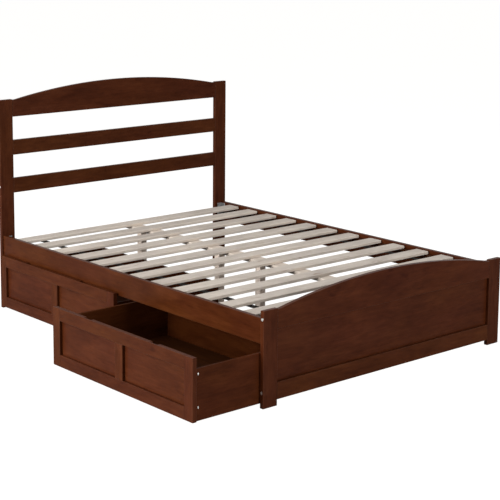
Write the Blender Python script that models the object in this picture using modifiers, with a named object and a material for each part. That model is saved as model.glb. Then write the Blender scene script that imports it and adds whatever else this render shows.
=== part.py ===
"""Platform bed with two storage drawers, all sizes in metres, +Z up, +Y towards the headboard.

The origin is on the floor under the centre of the bounding box. The drawer nearest the foot is
pulled out, so the middle of the bed lies at BED_MIDDLE_X.
"""

import math

import bpy
import bmesh
from mathutils import Vector

# ---- driving dimensions ----
BED_LENGTH = 1.975
BED_WIDTH = 1.454
FIT_GAP = 0.0003  # between boards that touch
EDGE_ROUND = 0.0015

POST_WIDTH = 0.076
POST_THICKNESS = 0.020
HEAD_POST_HEIGHT = 1.0465
FOOT_POST_HEIGHT = 0.4025

HEAD_RAIL_THICKNESS = 0.018
HEAD_RAIL_HEIGHT = 0.0743
HEAD_LOWER_RAIL_BOTTOM = 0.578
HEAD_MIDDLE_RAIL_BOTTOM = 0.7688
HEAD_TOP_RAIL_BOTTOM = 0.9594
HEAD_ARCH_END = 1.0425
HEAD_ARCH_CREST = 1.1066

FOOT_BOTTOM_RAIL = (0.0255, 0.098)
FOOT_TOP_RAIL_BOTTOM = 0.318
FOOT_ARCH_END = 0.398
FOOT_ARCH_CREST = 0.4645
FOOT_PANEL_RECESS = 0.014
ARCH_SHOULDER = 0.012  # level length at each end of an arch
ARCH_STEPS = 24

SIDE_RAIL_INSET = 0.008
SIDE_RAIL_THICKNESS = 0.020
SIDE_RAIL_Z = (0.262, 0.368)

SLAT_COUNT = 12
SLAT_PITCH = 0.1547
SLAT_WIDTH = 0.074
SLAT_THICKNESS = 0.014
SLAT_TOP = 0.362
SLAT_LENGTH = 1.389
CLEAT_WIDTH = 0.025
CLEAT_HEIGHT = 0.022
CLEAT_LENGTH = 1.850
STRAP_WIDTH = 0.035
STRAP_THICKNESS = 0.0012
STRAP_OFFSET = 0.578
CENTER_BOARD_WIDTH = 0.070
CENTER_BOARD_THICKNESS = 0.016
CENTER_BOARD_LENGTH = 1.770
CENTER_LEG_SIDE = 0.035
CENTER_LEG_Y = (0.778, 0.150, -0.150, -0.778)

BRACKET_LEG = 0.030
BRACKET_THICKNESS = 0.0025
BRACKET_Z = (0.2725, 0.3625)

DRAWER_WIDTH = 0.958
DRAWER_FRONT_THICKNESS = 0.020
DRAWER_FRONT_Z = (0.0195, 0.277)
DRAWER_STANDOFF = 0.001  # a shut front stands this far off the posts
DRAWER_STILE = 0.052
DRAWER_FRONT_RAIL = 0.053
DRAWER_PANEL_RECESS = 0.013
DRAWER_PANEL_THICKNESS = 0.006
DRAWER_BOX_DEPTH = 0.600
DRAWER_BOX_Z = (0.0185, 0.228)
DRAWER_BOX_WALL = 0.012
DRAWER_SIDE_INSET = 0.0105
DRAWER_BOTTOM_Z = (0.036, 0.042)
GRIP_WIDTH = 0.050
GRIP_DEPTH = 0.015
GRIP_HEIGHT = 0.018
WHEEL_RADIUS = 0.016
WHEEL_WIDTH = 0.014
WHEEL_INSET_SIDE = 0.068  # from the end of the front to the wheel's middle
WHEEL_INSET_FRONT = 0.113  # from the back of the front to the axle
WHEEL_INSET_BACK = 0.070
DRAWERS = (("head_drawer", 0.473, 0.0), ("foot_drawer", -0.4965, 0.3285))  # name, middle y, pulled out

FRONT_REACH = BED_WIDTH / 2 + DRAWER_STANDOFF + DRAWER_FRONT_THICKNESS + DRAWERS[1][2]
BED_MIDDLE_X = (FRONT_REACH - BED_WIDTH / 2) / 2
POST_FACE_Y = BED_LENGTH / 2 - POST_THICKNESS
RAIL_SPAN = BED_WIDTH - 2 * POST_WIDTH - 2 * FIT_GAP
SIDE_RAIL_INNER_X = BED_WIDTH / 2 - SIDE_RAIL_INSET - SIDE_RAIL_THICKNESS
SLAT_BOTTOM = SLAT_TOP - SLAT_THICKNESS


# ---- scene and helpers ----
for old in list(bpy.data.objects):
    bpy.data.objects.remove(old, do_unlink=True)

parts = bpy.data.collections.new("platform_bed")
cutters = bpy.data.collections.new("cutters")
bpy.context.scene.collection.children.link(parts)
bpy.context.scene.collection.children.link(cutters)


def add_material(name, color, roughness, metallic=0.0):
    made = bpy.data.materials.new(name)
    made.use_nodes = True
    shader = made.node_tree.nodes["Principled BSDF"]
    shader.inputs["Base Color"].default_value = (*color, 1.0)
    shader.inputs["Roughness"].default_value = roughness
    shader.inputs["Metallic"].default_value = metallic
    return made


walnut = add_material("walnut_stained_wood", (0.105, 0.034, 0.017), 0.42)
drawer_ply = add_material("stained_drawer_board", (0.060, 0.020, 0.010), 0.50)
bare_wood = add_material("bare_pale_wood", (0.50, 0.43, 0.36), 0.65)
webbing = add_material("dark_webbing", (0.06, 0.06, 0.06), 0.80)
zinc_steel = add_material("zinc_plated_steel", (0.60, 0.60, 0.62), 0.35, 1.0)
black_plastic = add_material("black_plastic", (0.02, 0.02, 0.02), 0.45)


def add_empty(name, location, parent=None):
    empty = bpy.data.objects.new(name, None)
    empty.location = location
    empty.parent = parent
    parts.objects.link(empty)
    return empty


def link_piece(name, data, location, parent, material, collection=None):
    piece = bpy.data.objects.new(name, data)
    piece.location = location
    piece.parent = parent
    (collection or parts).objects.link(piece)
    if material and not data.materials:
        data.materials.append(material)
    return piece


def box_mesh(name, size):
    mesh = bpy.data.meshes.new(name)
    shape = bmesh.new()
    bmesh.ops.create_cube(shape, size=1.0)
    bmesh.ops.scale(shape, vec=size, verts=shape.verts)
    shape.to_mesh(mesh)
    shape.free()
    return mesh


def round_edges(piece, width=EDGE_ROUND):
    bevel = piece.modifiers.new("rounded_edges", "BEVEL")
    bevel.width = width
    bevel.segments = 1
    bevel.limit_method = "ANGLE"


def add_board(name, low, high, parent, material, rounding=EDGE_ROUND):
    """A board between two opposite corners."""
    low = Vector(low)
    high = Vector(high)
    piece = link_piece(name, box_mesh(name, high - low), (low + high) / 2, parent, material)
    if rounding:
        round_edges(piece, rounding)
    return piece


def add_cutter(name, low, high, parent, target):
    low = Vector(low)
    high = Vector(high)
    cutter = link_piece(name, box_mesh(name, high - low), (low + high) / 2, parent, None, cutters)
    cutter.hide_render = True
    cutter.display_type = "WIRE"
    cut = target.modifiers.new(name, "BOOLEAN")
    cut.operation = "DIFFERENCE"
    cut.object = cutter


def add_outline(name, points, thickness, location, rotation, parent, material):
    """A flat outline extruded to a thickness, centred on its plane."""
    curve = bpy.data.curves.new(name, "CURVE")
    curve.dimensions = "2D"
    curve.fill_mode = "BOTH"
    curve.extrude = thickness / 2
    spline = curve.splines.new("POLY")
    spline.points.add(len(points) - 1)
    for point, (x, y) in zip(spline.points, points):
        point.co = (x, y, 0.0, 1.0)
    spline.use_cyclic_u = True
    piece = link_piece(name, curve, location, parent, material)
    piece.rotation_euler = rotation
    return piece


def arched_outline(span, bottom, end_height, crest_height):
    """A straight lower edge, a short level shoulder at each end and a circular arc between them."""
    half = span / 2
    half_chord = half - ARCH_SHOULDER
    rise = crest_height - end_height
    radius = (half_chord**2 + rise**2) / (2 * rise)
    half_angle = math.asin(half_chord / radius)
    points = [(-half, bottom), (half, bottom), (half, end_height)]
    for step in range(ARCH_STEPS + 1):
        angle = half_angle * (1 - 2 * step / ARCH_STEPS)
        points.append((radius * math.sin(angle), crest_height - radius * (1 - math.cos(angle))))
    points.append((-half, end_height))
    return points


def add_arched_rail(name, outline, thickness, middle_y):
    upright = (math.radians(90), 0, 0)
    add_outline(name, outline, thickness, (0, middle_y, 0), upright, bed, walnut)


bed = add_empty("bed", (BED_MIDDLE_X, 0, 0))


# ---- headboard and footboard posts ----
def add_posts(end_name, low_y, high_y, height):
    for side_name, side in (("left", -1), ("right", 1)):
        outer = side * BED_WIDTH / 2
        inner = side * (BED_WIDTH / 2 - POST_WIDTH)
        low = (min(outer, inner), low_y, 0)
        high = (max(outer, inner), high_y, height)
        add_board(f"{end_name}_post_{side_name}", low, high, bed, walnut)


add_posts("headboard", POST_FACE_Y, BED_LENGTH / 2, HEAD_POST_HEIGHT)
add_posts("footboard", -BED_LENGTH / 2, -POST_FACE_Y, FOOT_POST_HEIGHT)


# ---- headboard rails, flush with the inner face of the posts ----
def add_cross_rail(name, low_y, high_y, bottom, top):
    add_board(name, (-RAIL_SPAN / 2, low_y, bottom), (RAIL_SPAN / 2, high_y, top), bed, walnut)


head_rail_back = POST_FACE_Y + HEAD_RAIL_THICKNESS
for rail_name, bottom in (("lower", HEAD_LOWER_RAIL_BOTTOM), ("middle", HEAD_MIDDLE_RAIL_BOTTOM)):
    add_cross_rail(
        f"headboard_{rail_name}_rail", POST_FACE_Y, head_rail_back, bottom, bottom + HEAD_RAIL_HEIGHT
    )
add_arched_rail(
    "headboard_top_rail",
    arched_outline(RAIL_SPAN, HEAD_TOP_RAIL_BOTTOM, HEAD_ARCH_END, HEAD_ARCH_CREST),
    HEAD_RAIL_THICKNESS,
    POST_FACE_Y + HEAD_RAIL_THICKNESS / 2,
)

# ---- footboard rails and the thin panel between them ----
add_cross_rail("footboard_bottom_rail", -BED_LENGTH / 2, -POST_FACE_Y, *FOOT_BOTTOM_RAIL)
add_arched_rail(
    "footboard_top_rail",
    arched_outline(RAIL_SPAN, FOOT_TOP_RAIL_BOTTOM, FOOT_ARCH_END, FOOT_ARCH_CREST),
    POST_THICKNESS,
    -(BED_LENGTH - POST_THICKNESS) / 2,
)
add_cross_rail(
    "footboard_panel",
    -BED_LENGTH / 2 + FOOT_PANEL_RECESS,
    -POST_FACE_Y,
    FOOT_BOTTOM_RAIL[1] + FIT_GAP,
    FOOT_TOP_RAIL_BOTTOM - FIT_GAP,
)

# ---- side rails, the cleats that carry the slats, and the steel corner brackets ----
rail_half_length = POST_FACE_Y - FIT_GAP
cleat_top = SLAT_BOTTOM - FIT_GAP
for side_name, side in (("left", -1), ("right", 1)):
    inner_x = side * SIDE_RAIL_INNER_X
    outer_x = side * (SIDE_RAIL_INNER_X + SIDE_RAIL_THICKNESS)
    add_board(
        f"side_rail_{side_name}",
        (min(inner_x, outer_x), -rail_half_length, SIDE_RAIL_Z[0]),
        (max(inner_x, outer_x), rail_half_length, SIDE_RAIL_Z[1]),
        bed,
        walnut,
    )
    cleat_x = sorted((side * (SIDE_RAIL_INNER_X - FIT_GAP), side * (SIDE_RAIL_INNER_X - CLEAT_WIDTH)))
    add_board(
        f"slat_cleat_{side_name}",
        (cleat_x[0], -CLEAT_LENGTH / 2, cleat_top - CLEAT_HEIGHT),
        (cleat_x[1], CLEAT_LENGTH / 2, cleat_top),
        bed,
        walnut,
    )
    for end_name, end in (("head", 1), ("foot", -1)):
        angle_outline = [
            (0, 0),
            (-side * BRACKET_LEG, 0),
            (-side * BRACKET_LEG, -end * BRACKET_THICKNESS),
            (-side * BRACKET_THICKNESS, -end * BRACKET_THICKNESS),
            (-side * BRACKET_THICKNESS, -end * BRACKET_LEG),
            (0, -end * BRACKET_LEG),
        ]
        corner = (side * (SIDE_RAIL_INNER_X - FIT_GAP), end * rail_half_length, sum(BRACKET_Z) / 2)
        add_outline(
            f"corner_bracket_{end_name}_{side_name}",
            angle_outline,
            BRACKET_Z[1] - BRACKET_Z[0],
            corner,
            (0, 0, 0),
            bed,
            zinc_steel,
        )

# ---- slats, with the two straps stapled under them ----
slat_mesh = box_mesh("slat", (SLAT_LENGTH, SLAT_WIDTH, SLAT_THICKNESS))
slat_middle_z = SLAT_TOP - SLAT_THICKNESS / 2
for index in range(SLAT_COUNT):
    slat_y = SLAT_PITCH * ((SLAT_COUNT - 1) / 2 - index)
    slat = link_piece(f"slat_{index + 1:02d}", slat_mesh, (0, slat_y, slat_middle_z), bed, bare_wood)
    round_edges(slat)
strap_half_length = (SLAT_PITCH * (SLAT_COUNT - 1) + SLAT_WIDTH) / 2
for side_name, side in (("left", -1), ("right", 1)):
    strap_x = side * STRAP_OFFSET
    add_board(
        f"slat_strap_{side_name}",
        (strap_x - STRAP_WIDTH / 2, -strap_half_length, cleat_top - STRAP_THICKNESS),
        (strap_x + STRAP_WIDTH / 2, strap_half_length, cleat_top),
        bed,
        webbing,
        rounding=0,
    )

# ---- center support: a flat board under the slats on four square legs ----
center_bottom = cleat_top - CENTER_BOARD_THICKNESS
add_board(
    "center_support_board",
    (-CENTER_BOARD_WIDTH / 2, -CENTER_BOARD_LENGTH / 2, center_bottom),
    (CENTER_BOARD_WIDTH / 2, CENTER_BOARD_LENGTH / 2, cleat_top),
    bed,
    bare_wood,
)
leg_size = (CENTER_LEG_SIDE, CENTER_LEG_SIDE, center_bottom - FIT_GAP)
leg_mesh = box_mesh("center_leg", leg_size)
for index, leg_y in enumerate(CENTER_LEG_Y):
    leg = link_piece(f"center_leg_{index + 1}", leg_mesh, (0, leg_y, leg_size[2] / 2), bed, bare_wood)
    round_edges(leg)


# ---- drawers ----
def wheel_mesh():
    """A solid roller, lying with its axle along Y."""
    mesh = bpy.data.meshes.new("drawer_wheel")
    shape = bmesh.new()
    bmesh.ops.create_cone(
        shape, cap_ends=True, segments=32, radius1=WHEEL_RADIUS, radius2=WHEEL_RADIUS, depth=WHEEL_WIDTH
    )
    for vert in shape.verts:
        vert.co = (vert.co.x, -vert.co.z, vert.co.y)
    shape.to_mesh(mesh)
    shape.free()
    mesh.shade_smooth()
    mesh.set_sharp_from_angle(angle=math.radians(40))
    return mesh


def add_drawer_front(name, drawer):
    """Frame with two recessed panels. Its outer face is at x = 0 and it reaches back along +X."""
    half = DRAWER_WIDTH / 2
    low_z, high_z = DRAWER_FRONT_Z
    frame = add_board(
        f"{name}_front_frame",
        (0, -half, low_z),
        (DRAWER_FRONT_THICKNESS, half, high_z),
        drawer,
        walnut,
    )
    panel_width = (DRAWER_WIDTH - 3 * DRAWER_STILE) / 2
    panel_z = (low_z + DRAWER_FRONT_RAIL, high_z - DRAWER_FRONT_RAIL)
    for label, side in (("left", 1), ("right", -1)):
        middle = side * (DRAWER_STILE + panel_width) / 2
        add_cutter(
            f"{name}_panel_opening_{label}",
            (-0.01, middle - panel_width / 2, panel_z[0]),
            (DRAWER_FRONT_THICKNESS + 0.01, middle + panel_width / 2, panel_z[1]),
            drawer,
            frame,
        )
        add_cutter(
            f"{name}_grip_cut_{label}",
            (DRAWER_FRONT_THICKNESS - GRIP_DEPTH, middle - GRIP_WIDTH / 2, high_z - GRIP_HEIGHT),
            (DRAWER_FRONT_THICKNESS + 0.01, middle + GRIP_WIDTH / 2, high_z + 0.01),
            drawer,
            frame,
        )
        add_board(
            f"{name}_front_panel_{label}",
            (DRAWER_PANEL_RECESS, middle - panel_width / 2 + FIT_GAP, panel_z[0] + FIT_GAP),
            (
                DRAWER_PANEL_RECESS + DRAWER_PANEL_THICKNESS,
                middle + panel_width / 2 - FIT_GAP,
                panel_z[1] - FIT_GAP,
            ),
            drawer,
            walnut,
            rounding=0,
        )


def add_drawer_box(name, drawer):
    """Two sides, a back between them and a bottom, open at the top."""
    box_front = DRAWER_FRONT_THICKNESS + FIT_GAP
    box_back = DRAWER_FRONT_THICKNESS + DRAWER_BOX_DEPTH
    outer = DRAWER_WIDTH / 2 - DRAWER_SIDE_INSET
    inner = outer - DRAWER_BOX_WALL
    low_z, high_z = DRAWER_BOX_Z
    for label, side in (("left", 1), ("right", -1)):
        side_y = sorted((side * outer, side * inner))
        add_board(
            f"{name}_side_{label}",
            (box_front, side_y[0], low_z),
            (box_back, side_y[1], high_z),
            drawer,
            drawer_ply,
        )
    back_front = box_back - DRAWER_BOX_WALL
    add_board(
        f"{name}_back",
        (back_front, -inner + FIT_GAP, low_z),
        (box_back, inner - FIT_GAP, high_z),
        drawer,
        drawer_ply,
    )
    add_board(
        f"{name}_bottom",
        (box_front, -inner + FIT_GAP, DRAWER_BOTTOM_Z[0]),
        (back_front - FIT_GAP, inner - FIT_GAP, DRAWER_BOTTOM_Z[1]),
        drawer,
        drawer_ply,
        rounding=0,
    )


roller = wheel_mesh()
shut_front_x = -BED_WIDTH / 2 - DRAWER_STANDOFF - DRAWER_FRONT_THICKNESS
for drawer_name, middle_y, pulled_out in DRAWERS:
    drawer_empty = add_empty(drawer_name, (shut_front_x - pulled_out, middle_y, 0), bed)
    add_drawer_front(drawer_name, drawer_empty)
    add_drawer_box(drawer_name, drawer_empty)
    axle_y = DRAWER_WIDTH / 2 - WHEEL_INSET_SIDE
    front_axle_x = DRAWER_FRONT_THICKNESS + WHEEL_INSET_FRONT
    back_axle_x = DRAWER_FRONT_THICKNESS + DRAWER_BOX_DEPTH - WHEEL_INSET_BACK
    for row_name, axle_x in (("front", front_axle_x), ("back", back_axle_x)):
        for label, side in (("left", 1), ("right", -1)):
            link_piece(
                f"{drawer_name}_wheel_{row_name}_{label}",
                roller,
                (axle_x, side * axle_y, WHEEL_RADIUS),
                drawer_empty,
                black_plastic,
            )
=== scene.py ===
import math

import bmesh
import bpy
from mathutils import Matrix, Vector


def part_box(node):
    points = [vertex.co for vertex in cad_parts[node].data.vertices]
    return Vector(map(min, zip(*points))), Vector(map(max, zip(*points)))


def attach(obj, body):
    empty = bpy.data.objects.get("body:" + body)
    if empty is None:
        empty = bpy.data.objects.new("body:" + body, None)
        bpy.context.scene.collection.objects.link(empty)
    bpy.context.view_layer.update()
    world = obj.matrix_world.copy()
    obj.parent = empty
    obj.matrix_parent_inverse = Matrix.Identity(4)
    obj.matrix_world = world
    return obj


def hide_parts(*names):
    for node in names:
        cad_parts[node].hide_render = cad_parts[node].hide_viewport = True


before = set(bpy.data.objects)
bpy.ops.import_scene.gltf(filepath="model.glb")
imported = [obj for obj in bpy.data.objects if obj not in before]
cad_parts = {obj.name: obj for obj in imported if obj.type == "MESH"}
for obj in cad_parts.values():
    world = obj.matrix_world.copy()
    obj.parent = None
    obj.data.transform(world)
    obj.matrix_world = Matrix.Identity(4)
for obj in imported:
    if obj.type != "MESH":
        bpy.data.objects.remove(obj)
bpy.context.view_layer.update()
scene = bpy.context.scene
scene.view_settings.view_transform = "Standard"

# ---- camera ----
# A long lens at 1.9 m, tilted gently down at the bed. The small shift places the bed in
# the frame.
# It stands in front of the bed's left foot corner, where the drawers come out.
left_head_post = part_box("headboard_post_left")
right_head_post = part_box("headboard_post_right")
bed_middle_x = (left_head_post[0][0] + right_head_post[1][0]) / 2

camera_data = bpy.data.cameras.new("studio_camera")
camera_data.sensor_width = 36.0
camera_data.lens = 102.19
camera_data.shift_x = 0.05
camera_data.shift_y = -0.2
camera_data.clip_end = 200.0
camera = bpy.data.objects.new("studio_camera", camera_data)
camera.location = (bed_middle_x - 4.3388, -5.0137, 1.9044)
camera.rotation_euler = (1.41297, -0.00497, -0.70156)
scene.collection.objects.link(camera)
scene.camera = camera

# ---- studio ----
# A seamless white sweep with soft boxes all round: the strongest low on the drawer side, the next
# low at the foot. The white floor that is looked at and the duller floor that throws light back up
# are two sheets, as with a cut-out.
world = bpy.data.worlds.new("studio_air")
scene.world = world
world.use_nodes = True
air = world.node_tree
air.nodes.clear()
seen_air = air.nodes.new("ShaderNodeBackground")
seen_air.inputs["Color"].default_value = (1.0, 1.0, 1.0, 1.0)
seen_air.inputs["Strength"].default_value = 1.0
lit_air = air.nodes.new("ShaderNodeBackground")
lit_air.inputs["Color"].default_value = (1.0, 0.985, 0.965, 1.0)
lit_air.inputs["Strength"].default_value = 0.02
ray_kind = air.nodes.new("ShaderNodeLightPath")
air_mix = air.nodes.new("ShaderNodeMixShader")
air_out = air.nodes.new("ShaderNodeOutputWorld")
sheen_share = air.nodes.new("ShaderNodeMath")
sheen_share.operation = "MULTIPLY_ADD"
sheen_share.inputs[1].default_value = 0.7
air.links.new(ray_kind.outputs["Is Glossy Ray"], sheen_share.inputs[0])
air.links.new(ray_kind.outputs["Is Camera Ray"], sheen_share.inputs[2])
air.links.new(sheen_share.outputs[0], air_mix.inputs[0])
air.links.new(lit_air.outputs[0], air_mix.inputs[1])
air.links.new(seen_air.outputs[0], air_mix.inputs[2])
air.links.new(air_mix.outputs[0], air_out.inputs[0])


LIGHT_AIM = Vector((0.17, 0.0, 0.35))
LIGHT_DISTANCE = 6.0
SOFT_BOX_SIDE = 3.0


def soft_box(name, bearing, elevation, power):
    """A square soft box aimed at the bed; bearing runs anticlockwise from +X, in degrees."""
    data = bpy.data.lights.new(name, "AREA")
    data.shape = "SQUARE"
    data.size = SOFT_BOX_SIDE
    data.energy = power
    turn = math.radians(bearing)
    lift = math.radians(elevation)
    toward = Vector((math.cos(lift) * math.cos(turn), math.cos(lift) * math.sin(turn), math.sin(lift)))
    light = bpy.data.objects.new(name, data)
    light.location = LIGHT_AIM + toward * LIGHT_DISTANCE
    light.rotation_euler = toward.to_track_quat("Z", "Y").to_euler()
    scene.collection.objects.link(light)


soft_box("drawer_side_low", 180, 14, 430.0)
soft_box("drawer_side_high", 180, 40, 90.0)
soft_box("foot_low", 270, 14, 235.0)
soft_box("overhead", 200, 78, 62.0)
soft_box("head_corner", 140, 32, 92.0)
soft_box("far_side", 0, 30, 104.0)


def floor_sheet(name, height, color, glow):
    sheet = bmesh.new()
    bmesh.ops.create_grid(sheet, x_segments=1, y_segments=1, size=60.0)
    bmesh.ops.translate(sheet, vec=(0.0, 0.0, height), verts=sheet.verts)
    data = bpy.data.meshes.new(name)
    sheet.to_mesh(data)
    sheet.free()
    paint = bpy.data.materials.new(name)
    paint.use_nodes = True
    shader = paint.node_tree.nodes["Principled BSDF"]
    shader.inputs["Base Color"].default_value = (*color, 1.0)
    shader.inputs["Roughness"].default_value = 0.9
    shader.inputs["Specular IOR Level"].default_value = 0.0
    shader.inputs["Emission Color"].default_value = (1.0, 0.995, 0.985, 1.0)
    shader.inputs["Emission Strength"].default_value = glow
    data.materials.append(paint)
    made = bpy.data.objects.new(name, data)
    scene.collection.objects.link(made)
    return made


white_sweep = floor_sheet("white_sweep", -0.0005, (0.12, 0.12, 0.12), 1.0)
white_sweep.visible_diffuse = False
white_sweep.visible_glossy = False
white_sweep.visible_shadow = False
bounce_floor = floor_sheet("bounce_floor", -0.0010, (0.40, 0.40, 0.40), 0.10)
bounce_floor.visible_camera = False

# ---- posts ----
# Four flat boards of solid wood with eased edges, stained dark walnut and lacquered satin.
# A counterbored hole on each outer side takes the bolt that draws the cross rails in.
SHARP_ANGLE = 40.0
GRAIN_ORDER = {"X": (0, 1, 2), "Y": (1, 2, 0), "Z": (2, 0, 1)}
pieces_made = []


def new_material(name):
    made = bpy.data.materials.new(name)
    made.use_nodes = True
    made.node_tree.nodes.clear()
    return made


def add_node(tree, kind, **settings):
    node = tree.nodes.new(kind)
    for key, value in settings.items():
        if key in node.inputs:
            node.inputs[key].default_value = value
        else:
            setattr(node, key, value)
    return node


def add_ramp(tree, factor, stops):
    ramp = tree.nodes.new("ShaderNodeValToRGB")
    ramp.color_ramp.elements[0].position = stops[0][0]
    ramp.color_ramp.elements[0].color = (*stops[0][1], 1.0)
    ramp.color_ramp.elements[1].position = stops[-1][0]
    ramp.color_ramp.elements[1].color = (*stops[-1][1], 1.0)
    for position, color in stops[1:-1]:
        element = ramp.color_ramp.elements.new(position)
        element.color = (*color, 1.0)
    tree.links.new(factor, ramp.inputs["Fac"])
    return ramp.outputs["Color"]


def stretched_noise(tree, grain, stretch, detail, roughness, distortion=0.0):
    """Noise drawn out along the grain; stretch is the number of features per metre on each axis."""
    mapping = add_node(tree, "ShaderNodeMapping")
    mapping.inputs["Scale"].default_value = stretch
    noise = add_node(tree, "ShaderNodeTexNoise")
    noise.inputs["Scale"].default_value = 1.0
    noise.inputs["Detail"].default_value = detail
    noise.inputs["Roughness"].default_value = roughness
    noise.inputs["Distortion"].default_value = distortion
    tree.links.new(grain, mapping.inputs["Vector"])
    tree.links.new(mapping.outputs["Vector"], noise.inputs["Vector"])
    return noise.outputs["Fac"]


def mixed(tree, factor, first, second, blend="MIX"):
    mix = tree.nodes.new("ShaderNodeMix")
    mix.data_type = "RGBA"
    mix.blend_type = blend
    for socket, value in ((mix.inputs[0], factor), (mix.inputs[6], first), (mix.inputs[7], second)):
        if isinstance(value, bpy.types.NodeSocket):
            tree.links.new(value, socket)
        else:
            socket.default_value = value
    return mix.outputs[2]


def sums(tree, operation, first, second):
    math_node = tree.nodes.new("ShaderNodeMath")
    math_node.operation = operation
    for socket, value in zip(math_node.inputs, (first, second)):
        if isinstance(value, bpy.types.NodeSocket):
            tree.links.new(value, socket)
        else:
            socket.default_value = value
    return math_node.outputs[0]


def ranged(tree, value, low, high, new_low, new_high):
    remap = tree.nodes.new("ShaderNodeMapRange")
    for key, number in (("From Min", low), ("From Max", high), ("To Min", new_low), ("To Max", new_high)):
        remap.inputs[key].default_value = number
    tree.links.new(value, remap.inputs["Value"])
    return remap.outputs["Result"]


def wood_material(name, dark, middle, light, worn, gloss, grain_depth, streak, tints):
    """Stained or bare wood. The grain attribute runs along the board; worn marks the eased edges."""
    made = new_material(name)
    tree = made.node_tree
    grain = add_node(tree, "ShaderNodeAttribute", attribute_name="grain").outputs["Vector"]
    edge = add_node(tree, "ShaderNodeAttribute", attribute_name="worn").outputs["Fac"]
    tone = add_node(tree, "ShaderNodeAttribute", attribute_name="tone").outputs["Fac"]
    figure = stretched_noise(tree, grain, (3.4, 12.0, 12.0), 7.0, 0.62, 0.8)
    fleck = stretched_noise(tree, grain, (15.0, 62.0, 62.0), 4.0, 0.58, 0.3)
    blush = stretched_noise(tree, grain, (2.3, 4.6, 4.6), 3.0, 0.5, 0.6)
    fibre = stretched_noise(tree, grain, (7.0, 170.0, 170.0), 5.0, 0.60)
    cloud = stretched_noise(tree, grain, (3.6, 7.0, 7.0), 3.0, 0.5, 0.4)
    pores = stretched_noise(tree, grain, (45.0, 900.0, 900.0), 2.0, 0.5)
    fine = ranged(tree, fibre, 0.30, 0.70, 0.0, streak)
    flecked = ranged(tree, fleck, 0.30, 0.70, 0.0, 0.30)
    broad = ranged(tree, figure, 0.30, 0.70, 0.0, 0.70 - streak)
    mottled = sums(tree, "ADD", sums(tree, "ADD", broad, flecked), fine)
    color = add_ramp(tree, mottled, ((0.18, dark), (0.50, middle), (0.82, light)))
    cloud_shade = add_ramp(tree, cloud, ((0.30, (0.90, 0.89, 0.89)), (0.70, (1.08, 1.08, 1.07))))
    clouded = mixed(tree, 1.0, color, cloud_shade, "MULTIPLY")
    hue = sums(tree, "ADD", sums(tree, "MULTIPLY", tone, 0.5), ranged(tree, blush, 0.30, 0.70, 0.0, 0.5))
    tone_shade = add_ramp(tree, hue, ((0.0, tints[0]), (0.5, (1.0, 1.0, 1.0)), (1.0, tints[1])))
    toned = mixed(tree, 1.0, clouded, tone_shade, "MULTIPLY")
    pore_shade = add_ramp(tree, pores, ((0.36, (0.86, 0.84, 0.82)), (0.46, (1.0, 1.0, 1.0))))
    pored = mixed(tree, 0.5, toned, mixed(tree, 1.0, toned, pore_shade, "MULTIPLY"))
    knots = stretched_noise(tree, grain, (11.0, 34.0, 34.0), 2.0, 0.5, 0.5)
    knot_shade = add_ramp(tree, knots, ((0.66, (1.0, 1.0, 1.0)), (0.76, (0.72, 0.64, 0.58))))
    knotted = mixed(tree, 1.0, pored, knot_shade, "MULTIPLY")
    rub = sums(tree, "MULTIPLY", edge, ranged(tree, cloud, 0.35, 0.70, 0.20, 0.60))
    finished = mixed(tree, rub, knotted, (*worn, 1.0))
    shader = add_node(tree, "ShaderNodeBsdfPrincipled")
    shader.inputs["Specular IOR Level"].default_value = gloss[1]
    tree.links.new(finished, shader.inputs["Base Color"])
    roughness = ranged(tree, fibre, 0.3, 0.7, gloss[0] - 0.05, gloss[0] + 0.07)
    tree.links.new(roughness, shader.inputs["Roughness"])
    bump = add_node(tree, "ShaderNodeBump")
    bump.inputs["Strength"].default_value = grain_depth
    bump.inputs["Distance"].default_value = 0.0008
    height = sums(tree, "ADD", sums(tree, "MULTIPLY", fibre, 0.7), sums(tree, "MULTIPLY", pores, 0.3))
    tree.links.new(height, bump.inputs["Height"])
    tree.links.new(bump.outputs["Normal"], shader.inputs["Normal"])
    out = add_node(tree, "ShaderNodeOutputMaterial")
    tree.links.new(shader.outputs["BSDF"], out.inputs["Surface"])
    return made


WALNUT_TINTS = ((0.95, 0.88, 1.12), (1.04, 1.13, 0.84))
walnut = wood_material(
    "walnut_stain",
    dark=(0.0345, 0.0073, 0.0018),
    middle=(0.0500, 0.0118, 0.0034),
    light=(0.0670, 0.0175, 0.0055),
    worn=(0.062, 0.022, 0.011),
    gloss=(0.34, 0.06),
    grain_depth=0.10,
    streak=0.20,
    tints=WALNUT_TINTS,
)


def box_shape(low, high, rounding, segments=3):
    """A board between two corners with its edges eased."""
    low = Vector(low)
    high = Vector(high)
    shape = bmesh.new()
    bmesh.ops.create_cube(shape, size=1.0)
    bmesh.ops.scale(shape, vec=high - low, verts=shape.verts)
    bmesh.ops.translate(shape, vec=(low + high) / 2, verts=shape.verts)
    ease_edges(shape, rounding, segments)
    return shape


def ease_edges(shape, rounding, segments=3, sharper_than=30.0):
    limit = math.radians(sharper_than)
    edges = [edge for edge in shape.edges if edge.calc_face_angle(0.0) > limit]
    bmesh.ops.bevel(
        shape,
        geom=edges,
        offset=rounding,
        segments=segments,
        profile=0.5,
        affect="EDGES",
        material=-1,
        clamp_overlap=True,
    )


def rod_shape(center, axis, radius, length, segments=24, rounding=0.0):
    """A short round bar or disc, centred on a point."""
    shape = bmesh.new()
    bmesh.ops.create_cone(
        shape, cap_ends=True, segments=segments, radius1=radius, radius2=radius, depth=length
    )
    if rounding:
        ease_edges(shape, rounding, 2, 60.0)
    turn = Vector((0.0, 0.0, 1.0)).rotation_difference(Vector(axis)).to_matrix().to_4x4()
    bmesh.ops.transform(shape, matrix=Matrix.Translation(center) @ turn, verts=shape.verts)
    return shape


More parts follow.
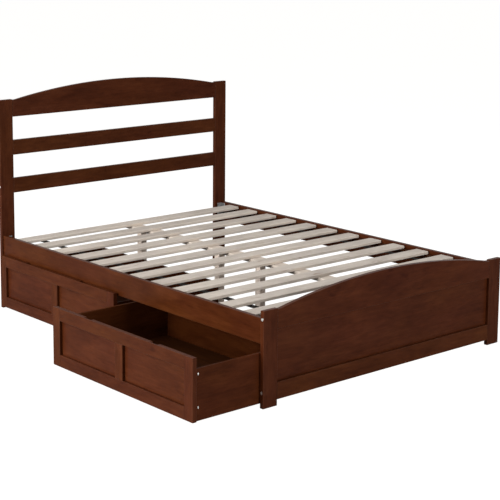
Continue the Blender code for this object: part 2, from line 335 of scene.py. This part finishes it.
def carved(shape, cutters):
    """The shape with each cutter taken out of it."""
    solid = as_object("carving", shape)
    for cutter in cutters:
        tool = as_object("carving_tool", cutter)
        cut = solid.modifiers.new("carve", "BOOLEAN")
        cut.operation = "DIFFERENCE"
        cut.solver = "EXACT"
        cut.object = tool
        left = bpy.data.meshes.new_from_object(solid.evaluated_get(bpy.context.evaluated_depsgraph_get()))
        solid.modifiers.clear()
        solid.data = left
        bpy.data.objects.remove(tool)
    result = bmesh.new()
    result.from_mesh(solid.data)
    bpy.data.objects.remove(solid)
    return result


def as_object(name, shape):
    data = bpy.data.meshes.new(name)
    shape.to_mesh(data)
    shape.free()
    made = bpy.data.objects.new(name, data)
    scene.collection.objects.link(made)
    return made


def merged(shapes):
    """Several closed shapes as one mesh."""
    whole = bmesh.new()
    for shape in shapes:
        data = bpy.data.meshes.new("merging")
        shape.to_mesh(data)
        shape.free()
        whole.from_mesh(data)
        bpy.data.meshes.remove(data)
    return whole


def finish_piece(name, shape, body, material, nodes=(), along="X", tone=None):
    """Hands a shape over as a finished piece: grain, shading, finish, and the body it moves with."""
    made = as_object(name, shape)
    data = made.data
    count = len(pieces_made)
    order = GRAIN_ORDER[along]
    shift = Vector((1.37 * count, 0.731 * count, 0.417 * count))
    grain = data.attributes.new("grain", "FLOAT_VECTOR", "POINT")
    grain.data.foreach_set(
        "vector",
        [point.co[axis] + shift[step] for point in data.vertices for step, axis in enumerate(order)],
    )
    worn = data.attributes.new("worn", "FLOAT", "FACE")
    worn.data.foreach_set(
        "value", [1.0 if max(abs(part) for part in face.normal) < 0.995 else 0.0 for face in data.polygons]
    )
    board_tone = tone if tone is not None else (count * 0.381966) % 1.0
    tones = data.attributes.new("tone", "FLOAT", "FACE")
    tones.data.foreach_set("value", [board_tone] * len(data.polygons))
    data.materials.append(material)
    data.shade_smooth()
    data.set_sharp_from_angle(angle=math.radians(SHARP_ANGLE))
    even = made.modifiers.new("even_shading", "WEIGHTED_NORMAL")
    even.keep_sharp = True
    even.weight = 100
    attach(made, body)
    if nodes:
        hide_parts(*nodes)
    pieces_made.append(made)
    return made


BOLT_HOLE_RADIUS = 0.0075
BOLT_HOLE_DEPTH = 0.0016
bolt_heights = {"headboard": (0.977, 0.614), "footboard": (0.366, 0.0645)}
post_bolts = []
for end in ("headboard", "footboard"):
    for side, outward in (("left", -1.0), ("right", 1.0)):
        node = f"{end}_post_{side}"
        low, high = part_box(node)
        outer_x = low[0] if outward < 0 else high[0]
        middle_y = (low[1] + high[1]) / 2
        holes = []
        for height in bolt_heights[end]:
            mouth = (outer_x, middle_y, height)
            holes.append(rod_shape(mouth, (1, 0, 0), BOLT_HOLE_RADIUS, BOLT_HOLE_DEPTH * 2))
            post_bolts.append((f"{node}_{int(height * 1000)}", mouth, outward))
        post = carved(box_shape(low, high, 0.0022), holes)
        finish_piece(f"{node}_board", post, "bed_frame", walnut, (node,), "Z", 0.30)

# ---- cross rails ----
# Straight rails and the thin footboard panel are planed boards let in between the posts; the two
# top rails are sawn to a shallow arch that meets the posts level.
ARCH_SHOULDER = 0.012
ARCH_CUTS = 72


def arched_shape(node, end_height, rounding):
    """A board subdivided along its length, its top edge lifted to a circular arc."""
    low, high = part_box(node)
    shape = box_shape(low, high, 0.0)
    long_edges = [edge for edge in shape.edges if abs(edge.verts[0].co.x - edge.verts[1].co.x) > 0.5]
    bmesh.ops.subdivide_edges(shape, edges=long_edges, cuts=ARCH_CUTS, use_grid_fill=True)
    middle = (low[0] + high[0]) / 2
    half_chord = (high[0] - low[0]) / 2 - ARCH_SHOULDER
    rise = high[2] - end_height
    radius = (half_chord**2 + rise**2) / (2 * rise)
    for vert in shape.verts:
        if vert.co.z > end_height:
            reach = min(abs(vert.co.x - middle), half_chord)
            vert.co.z = high[2] - radius + math.sqrt(radius**2 - reach**2)
    ease_edges(shape, rounding)
    return shape


for node in ("headboard_middle_rail", "headboard_lower_rail", "footboard_bottom_rail"):
    rail = box_shape(*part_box(node), 0.0022)
    finish_piece(f"{node}_board", rail, "bed_frame", walnut, (node,), "X", 0.85)
finish_piece(
    "footboard_panel_board",
    box_shape(*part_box("footboard_panel"), 0.0006, 1),
    "bed_frame",
    walnut,
    ("footboard_panel",),
    "X",
    0.35,
)
for node, end_height in (("headboard_top_rail", 1.0425), ("footboard_top_rail", 0.398)):
    finish_piece(
        f"{node}_board",
        arched_shape(node, end_height, 0.0022),
        "bed_frame",
        walnut,
        (node,),
        "X",
        0.20,
    )

# ---- side rails and cleats ----
# Two planed boards bolted between the posts, each with a square strip screwed along its inside
# that carries the slat ends. The strips take a darker copy of the walnut, as painted shade for the dark
# under the slats.
# A darker copy of the walnut: painted shade for the strips under the slats and for the drawer bottoms.
painted_shade_stain = wood_material(
    "thick_painted_shade_stain",
    dark=(0.0200, 0.0048, 0.0008),
    middle=(0.0270, 0.0068, 0.0012),
    light=(0.0350, 0.0090, 0.0018),
    worn=(0.045, 0.018, 0.010),
    gloss=(0.60, 0.05),
    grain_depth=0.10,
    streak=0.25,
    tints=WALNUT_TINTS,
)
for side in ("left", "right"):
    rail = f"side_rail_{side}"
    finish_piece(
        f"{rail}_board", box_shape(*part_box(rail), 0.0022), "bed_frame", walnut, (rail,), "Y"
    )
    cleat = f"slat_cleat_{side}"
    strip = box_shape(*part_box(cleat), 0.0012)
    finish_piece(f"{cleat}_strip", strip, "bed_frame", painted_shade_stain, (cleat,), "Y")

# ---- slats and centre support ----
# Bare softwood: twelve slats across, a flat board under their middles and four square legs. The slats' tops
# are painted greyer and their front and back edges paler, as painted shade and painted highlight for how
# the light falls on them.
pale_wood = wood_material(
    "bare_slat_wood",
    dark=(0.455, 0.395, 0.340),
    middle=(0.535, 0.472, 0.412),
    light=(0.595, 0.535, 0.475),
    worn=(0.60, 0.54, 0.48),
    gloss=(0.62, 0.12),
    grain_depth=0.18,
    streak=0.35,
    tints=((0.84, 0.845, 0.86), (1.30, 1.27, 1.24)),
)
# A paler copy of the slat wood for the legs: painted light, so that the legs under the slats come out
# bright.
painted_light_leg_wood = wood_material(
    "bare_painted_light_leg_wood",
    dark=(0.66, 0.555, 0.465),
    middle=(0.76, 0.650, 0.555),
    light=(0.82, 0.715, 0.620),
    worn=(0.78, 0.70, 0.62),
    gloss=(0.62, 0.15),
    grain_depth=0.18,
    streak=0.35,
    tints=((0.96, 0.96, 0.98), (1.03, 1.02, 0.99)),
)
for index in range(12):
    node = f"slat_{index + 1:02d}"
    shape = box_shape(*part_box(node), 0.0025)
    slat = finish_piece(f"{node}_board", shape, "bed_frame", pale_wood, (node,), "X")
    # Front and back faces take the pale end of the tints, the other faces the grey end: painted highlight
    # on the edges, painted shade on the tops.
    side_highlight_tone = [1.0 if abs(face.normal.y) > 0.7 else 0.15 for face in slat.data.polygons]
    slat.data.attributes["tone"].data.foreach_set("value", side_highlight_tone)
finish_piece(
    "center_board",
    box_shape(*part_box("center_support_board"), 0.0018),
    "bed_frame",
    pale_wood,
    ("center_support_board",),
    "Y",
)
for index in range(4):
    node = f"center_leg_{index + 1}"
    finish_piece(
        f"{node}_post", box_shape(*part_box(node), 0.0018), "bed_frame", painted_light_leg_wood, (node,), "Z"
    )

# ---- slat straps ----
# Flat woven tape that keeps the slats at their spacing, stapled to the underside of each.
webbing = new_material("dark_slat_webbing")
tree = webbing.node_tree
place = add_node(tree, "ShaderNodeTexCoord").outputs["Object"]
warp = add_node(tree, "ShaderNodeTexWave", bands_direction="X")
warp.inputs["Scale"].default_value = 260.0
weft = add_node(tree, "ShaderNodeTexWave", bands_direction="Y")
weft.inputs["Scale"].default_value = 160.0
tree.links.new(place, warp.inputs["Vector"])
tree.links.new(place, weft.inputs["Vector"])
woven = sums(tree, "MULTIPLY", warp.outputs["Fac"], weft.outputs["Fac"])
shader = add_node(tree, "ShaderNodeBsdfPrincipled")
shader.inputs["Roughness"].default_value = 0.85
shader.inputs["Specular IOR Level"].default_value = 0.05
tape_color = add_ramp(tree, woven, ((0.0, (0.009, 0.007, 0.006)), (1.0, (0.024, 0.019, 0.016))))
tree.links.new(tape_color, shader.inputs["Base Color"])
bump = add_node(tree, "ShaderNodeBump")
bump.inputs["Strength"].default_value = 0.5
bump.inputs["Distance"].default_value = 0.0004
tree.links.new(woven, bump.inputs["Height"])
tree.links.new(bump.outputs["Normal"], shader.inputs["Normal"])
tree.links.new(shader.outputs["BSDF"], add_node(tree, "ShaderNodeOutputMaterial").inputs["Surface"])
for side in ("left", "right"):
    node = f"slat_strap_{side}"
    tape = box_shape(*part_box(node), 0.0004, 1)
    finish_piece(f"{node}_tape", tape, "bed_frame", webbing, (node,), "Y")

# ---- steel fittings on the frame ----
# Zinc-plated bolts in the posts' counterbores, and pressed angles in the four inner corners.


def plated_steel(name, dull, bright):
    made = new_material(name)
    tree = made.node_tree
    place = add_node(tree, "ShaderNodeTexCoord").outputs["Object"]
    mottle = stretched_noise(tree, place, (160.0, 160.0, 160.0), 3.0, 0.5)
    shader = add_node(tree, "ShaderNodeBsdfPrincipled")
    shader.inputs["Metallic"].default_value = 1.0
    tree.links.new(add_ramp(tree, mottle, ((0.3, dull), (0.7, bright))), shader.inputs["Base Color"])
    tree.links.new(ranged(tree, mottle, 0.3, 0.7, 0.28, 0.45), shader.inputs["Roughness"])
    bump = add_node(tree, "ShaderNodeBump")
    bump.inputs["Strength"].default_value = 0.15
    bump.inputs["Distance"].default_value = 0.0003
    tree.links.new(mottle, bump.inputs["Height"])
    tree.links.new(bump.outputs["Normal"], shader.inputs["Normal"])
    tree.links.new(shader.outputs["BSDF"], add_node(tree, "ShaderNodeOutputMaterial").inputs["Surface"])
    return made


steel = plated_steel("zinc_plate", (0.66, 0.65, 0.62), (0.82, 0.81, 0.78))
bracket_steel = plated_steel("dull_zinc_plate", (0.30, 0.30, 0.30), (0.46, 0.46, 0.46))
POST_BOLT_RADIUS = 0.0066
POST_BOLT_SOCKET = 0.0026
ANGLE_PLATE = 0.0025
ANGLE_BOLT = (0.0055, 0.003, 0.0022)


def bolt_head(seat, outward, radius, height, socket):
    """A low round head standing off its seat, with a six-sided socket sunk in it."""
    axis = Vector(outward)
    head = rod_shape(Vector(seat) + axis * height / 2, axis, radius, height, 28, height * 0.3)
    hollow = rod_shape(Vector(seat) + axis * height, axis, socket, height, 6)
    return carved(head, [hollow])


def leaf_shape(corner, opposite):
    """One leaf of an angle, between two opposite corners in any order."""
    lowest = [min(pair) for pair in zip(corner, opposite)]
    highest = [max(pair) for pair in zip(corner, opposite)]
    return box_shape(lowest, highest, 0.0006, 1)


for label, mouth, outward in post_bolts:
    seat = Vector(mouth) - Vector((outward, 0, 0)) * BOLT_HOLE_DEPTH
    head = bolt_head(seat, (outward, 0, 0), POST_BOLT_RADIUS, BOLT_HOLE_DEPTH * 0.95, POST_BOLT_SOCKET)
    finish_piece(f"bolt_{label}", head, "bed_frame", steel)
for end, inward_y in (("head", -1.0), ("foot", 1.0)):
    for side, inward_x in (("left", 1.0), ("right", -1.0)):
        node = f"corner_bracket_{end}_{side}"
        low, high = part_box(node)
        corner_x = low[0] if inward_x > 0 else high[0]
        corner_y = high[1] if inward_y < 0 else low[1]
        on_rail = ((corner_x, low[1], low[2]), (corner_x + inward_x * ANGLE_PLATE, high[1], high[2]))
        on_post = ((low[0], corner_y, low[2]), (high[0], corner_y + inward_y * ANGLE_PLATE, high[2]))
        leaf_x = leaf_shape(*on_rail)
        leaf_y = leaf_shape(*on_post)
        heads = []
        for share in (0.22, 0.78):
            height = low[2] + (high[2] - low[2]) * share
            rail_y = (low[1] + high[1]) / 2 + inward_y * 0.002
            post_x = (low[0] + high[0]) / 2 + inward_x * 0.002
            rail_seat = (corner_x + inward_x * ANGLE_PLATE, rail_y, height)
            post_seat = (post_x, corner_y + inward_y * ANGLE_PLATE, height)
            heads.append(bolt_head(rail_seat, (inward_x, 0, 0), *ANGLE_BOLT))
            heads.append(bolt_head(post_seat, (0, inward_y, 0), *ANGLE_BOLT))
        angle = merged([leaf_x, leaf_y] + heads)
        finish_piece(f"{node}_angle", angle, "bed_frame", bracket_steel, (node,))

# ---- drawers ----
# A framed front of stiles and rails round two flat panels, on a plain box of stained board.
# Two finger hollows are scooped from the back of the front's top edge.
drawer_board = wood_material(
    "drawer_box_stain",
    dark=(0.0335, 0.0074, 0.0016),
    middle=(0.0480, 0.0114, 0.0028),
    light=(0.0640, 0.0168, 0.0046),
    worn=(0.058, 0.020, 0.009),
    gloss=(0.45, 0.04),
    grain_depth=0.12,
    streak=0.22,
    tints=WALNUT_TINTS,
)
STILE = 0.052
FRONT_RAIL = 0.053
LIP = 0.0012
JOINT_GAP = 0.0002
SCOOP_RADIUS = 0.025
SCREW_HEIGHTS = (0.073, 0.207)
for drawer in ("head_drawer", "foot_drawer"):
    low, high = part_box(f"{drawer}_front_frame")
    middle_y = (low[1] + high[1]) / 2
    panel_width = (high[1] - low[1] - 3 * STILE) / 2
    stile_starts = (low[1], middle_y - STILE / 2, high[1] - STILE)
    for label, start in zip(("foot_end", "middle", "head_end"), stile_starts):
        bottom = low[2] if label != "middle" else low[2] + FRONT_RAIL + JOINT_GAP
        top = high[2] if label != "middle" else high[2] - FRONT_RAIL - JOINT_GAP
        stile = box_shape((low[0], start, bottom), (high[0], start + STILE, top), LIP)
        nodes = (f"{drawer}_front_frame",) if label == "foot_end" else ()
        finish_piece(f"{drawer}_stile_{label}", stile, drawer, walnut, nodes, "Z")
    rail_y = (low[1] + STILE + JOINT_GAP, high[1] - STILE - JOINT_GAP)
    lower = box_shape((low[0], rail_y[0], low[2]), (high[0], rail_y[1], low[2] + FRONT_RAIL), LIP)
    finish_piece(f"{drawer}_front_lower_rail", lower, drawer, walnut, (), "Y")
    upper = box_shape((low[0], rail_y[0], high[2] - FRONT_RAIL), (high[0], rail_y[1], high[2]), LIP)
    scoops = []
    for side in (-1.0, 1.0):
        center_y = middle_y + side * (STILE + panel_width) / 2
        scoop = rod_shape((0, 0, 0), (1, 0, 0), SCOOP_RADIUS, 0.030, 40, 0.004)
        bmesh.ops.scale(scoop, vec=(1.0, 1.0, 0.72), verts=scoop.verts)
        bmesh.ops.translate(scoop, vec=(high[0], center_y, high[2]), verts=scoop.verts)
        scoops.append(scoop)
    finish_piece(f"{drawer}_front_upper_rail", carved(upper, scoops), drawer, walnut, (), "Y")
    for label in ("left", "right"):
        node = f"{drawer}_front_panel_{label}"
        board = box_shape(*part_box(node), 0.0004, 1)
        finish_piece(f"{node}_board", board, drawer, walnut, (node,), "Y")
    for part, along in (("side_left", "X"), ("side_right", "X"), ("back", "Y"), ("bottom", "Y")):
        node = f"{drawer}_{part}"
        # The bottom takes the darker copy of the walnut: painted shade inside the drawer.
        finish = painted_shade_stain if part == "bottom" else drawer_board
        board = box_shape(*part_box(node), 0.0012)
        finish_piece(f"{node}_board", board, drawer, finish, (node,), along)
    for label, outward in (("left", 1.0), ("right", -1.0)):
        side_low, side_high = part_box(f"{drawer}_side_{label}")
        face_y = side_high[1] if outward > 0 else side_low[1]
        heads = []
        for height in SCREW_HEIGHTS:
            seat = (side_low[0] + 0.015, face_y, height)
            head = bolt_head(seat, (0, outward, 0), 0.0030, 0.0012, 0.0012)
            bmesh.ops.translate(head, vec=-Vector(seat), verts=head.verts)
            bmesh.ops.scale(head, vec=(1.0, 1.0, 1.7), verts=head.verts)
            bmesh.ops.translate(head, vec=Vector(seat), verts=head.verts)
            heads.append(head)
        finish_piece(f"{drawer}_side_{label}_screws", merged(heads), drawer, steel)

# ---- casters ----
# Black moulded rollers on a steel axle in a folded steel fork, under each corner
# of the drawer box.
black_plastic = new_material("black_roller_plastic")
tree = black_plastic.node_tree
place = add_node(tree, "ShaderNodeTexCoord").outputs["Object"]
speckle = stretched_noise(tree, place, (420.0, 420.0, 420.0), 2.0, 0.5)
shader = add_node(tree, "ShaderNodeBsdfPrincipled")
roller_color = add_ramp(tree, speckle, ((0.3, (0.012, 0.012, 0.012)), (0.7, (0.028, 0.027, 0.026))))
tree.links.new(roller_color, shader.inputs["Base Color"])
tree.links.new(ranged(tree, speckle, 0.3, 0.7, 0.38, 0.55), shader.inputs["Roughness"])
bump = add_node(tree, "ShaderNodeBump")
bump.inputs["Strength"].default_value = 0.2
bump.inputs["Distance"].default_value = 0.0002
tree.links.new(speckle, bump.inputs["Height"])
tree.links.new(bump.outputs["Normal"], shader.inputs["Normal"])
tree.links.new(shader.outputs["BSDF"], add_node(tree, "ShaderNodeOutputMaterial").inputs["Surface"])
for drawer in ("head_drawer", "foot_drawer"):
    for row in ("front", "back"):
        for label in ("left", "right"):
            node = f"{drawer}_wheel_{row}_{label}"
            low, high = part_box(node)
            center = (Vector(low) + Vector(high)) / 2
            radius = (high[2] - low[2]) / 2
            width = high[1] - low[1]
            tread = rod_shape(center, (0, 1, 0), radius, width, 48, 0.0018)
            dishes = [
                rod_shape(center + Vector((0, side * width / 2, 0)), (0, 1, 0), radius * 0.68, 0.005, 36)
                for side in (-1, 1)
            ]
            hubs = [
                rod_shape(center + Vector((0, side * width * 0.32, 0)), (0, 1, 0), radius * 0.30, 0.004, 24)
                for side in (-1, 1)
            ]
            wheel = merged([carved(tread, dishes)] + hubs)
            finish_piece(f"{node}_roller", wheel, node, black_plastic, (node,))
            cheeks = [
                box_shape(
                    (center.x - 0.009, center.y + side * (width / 2 + 0.0016) - 0.0007, 0.012),
                    (center.x + 0.009, center.y + side * (width / 2 + 0.0016) + 0.0007, 0.0350),
                    0.0005,
                    1,
                )
                for side in (-1, 1)
            ]
            top_plate = box_shape(
                (center.x - 0.016, center.y - 0.019, 0.0343),
                (center.x + 0.016, center.y + 0.019, 0.0357),
                0.0005,
                1,
            )
            axle = rod_shape(center, (0, 1, 0), 0.0022, width + 0.0064, 16, 0.0004)
            fork = merged(cheeks + [top_plate, axle])
            finish_piece(f"{node}_fork", fork, drawer, steel)

bpy.context.view_layer.update()
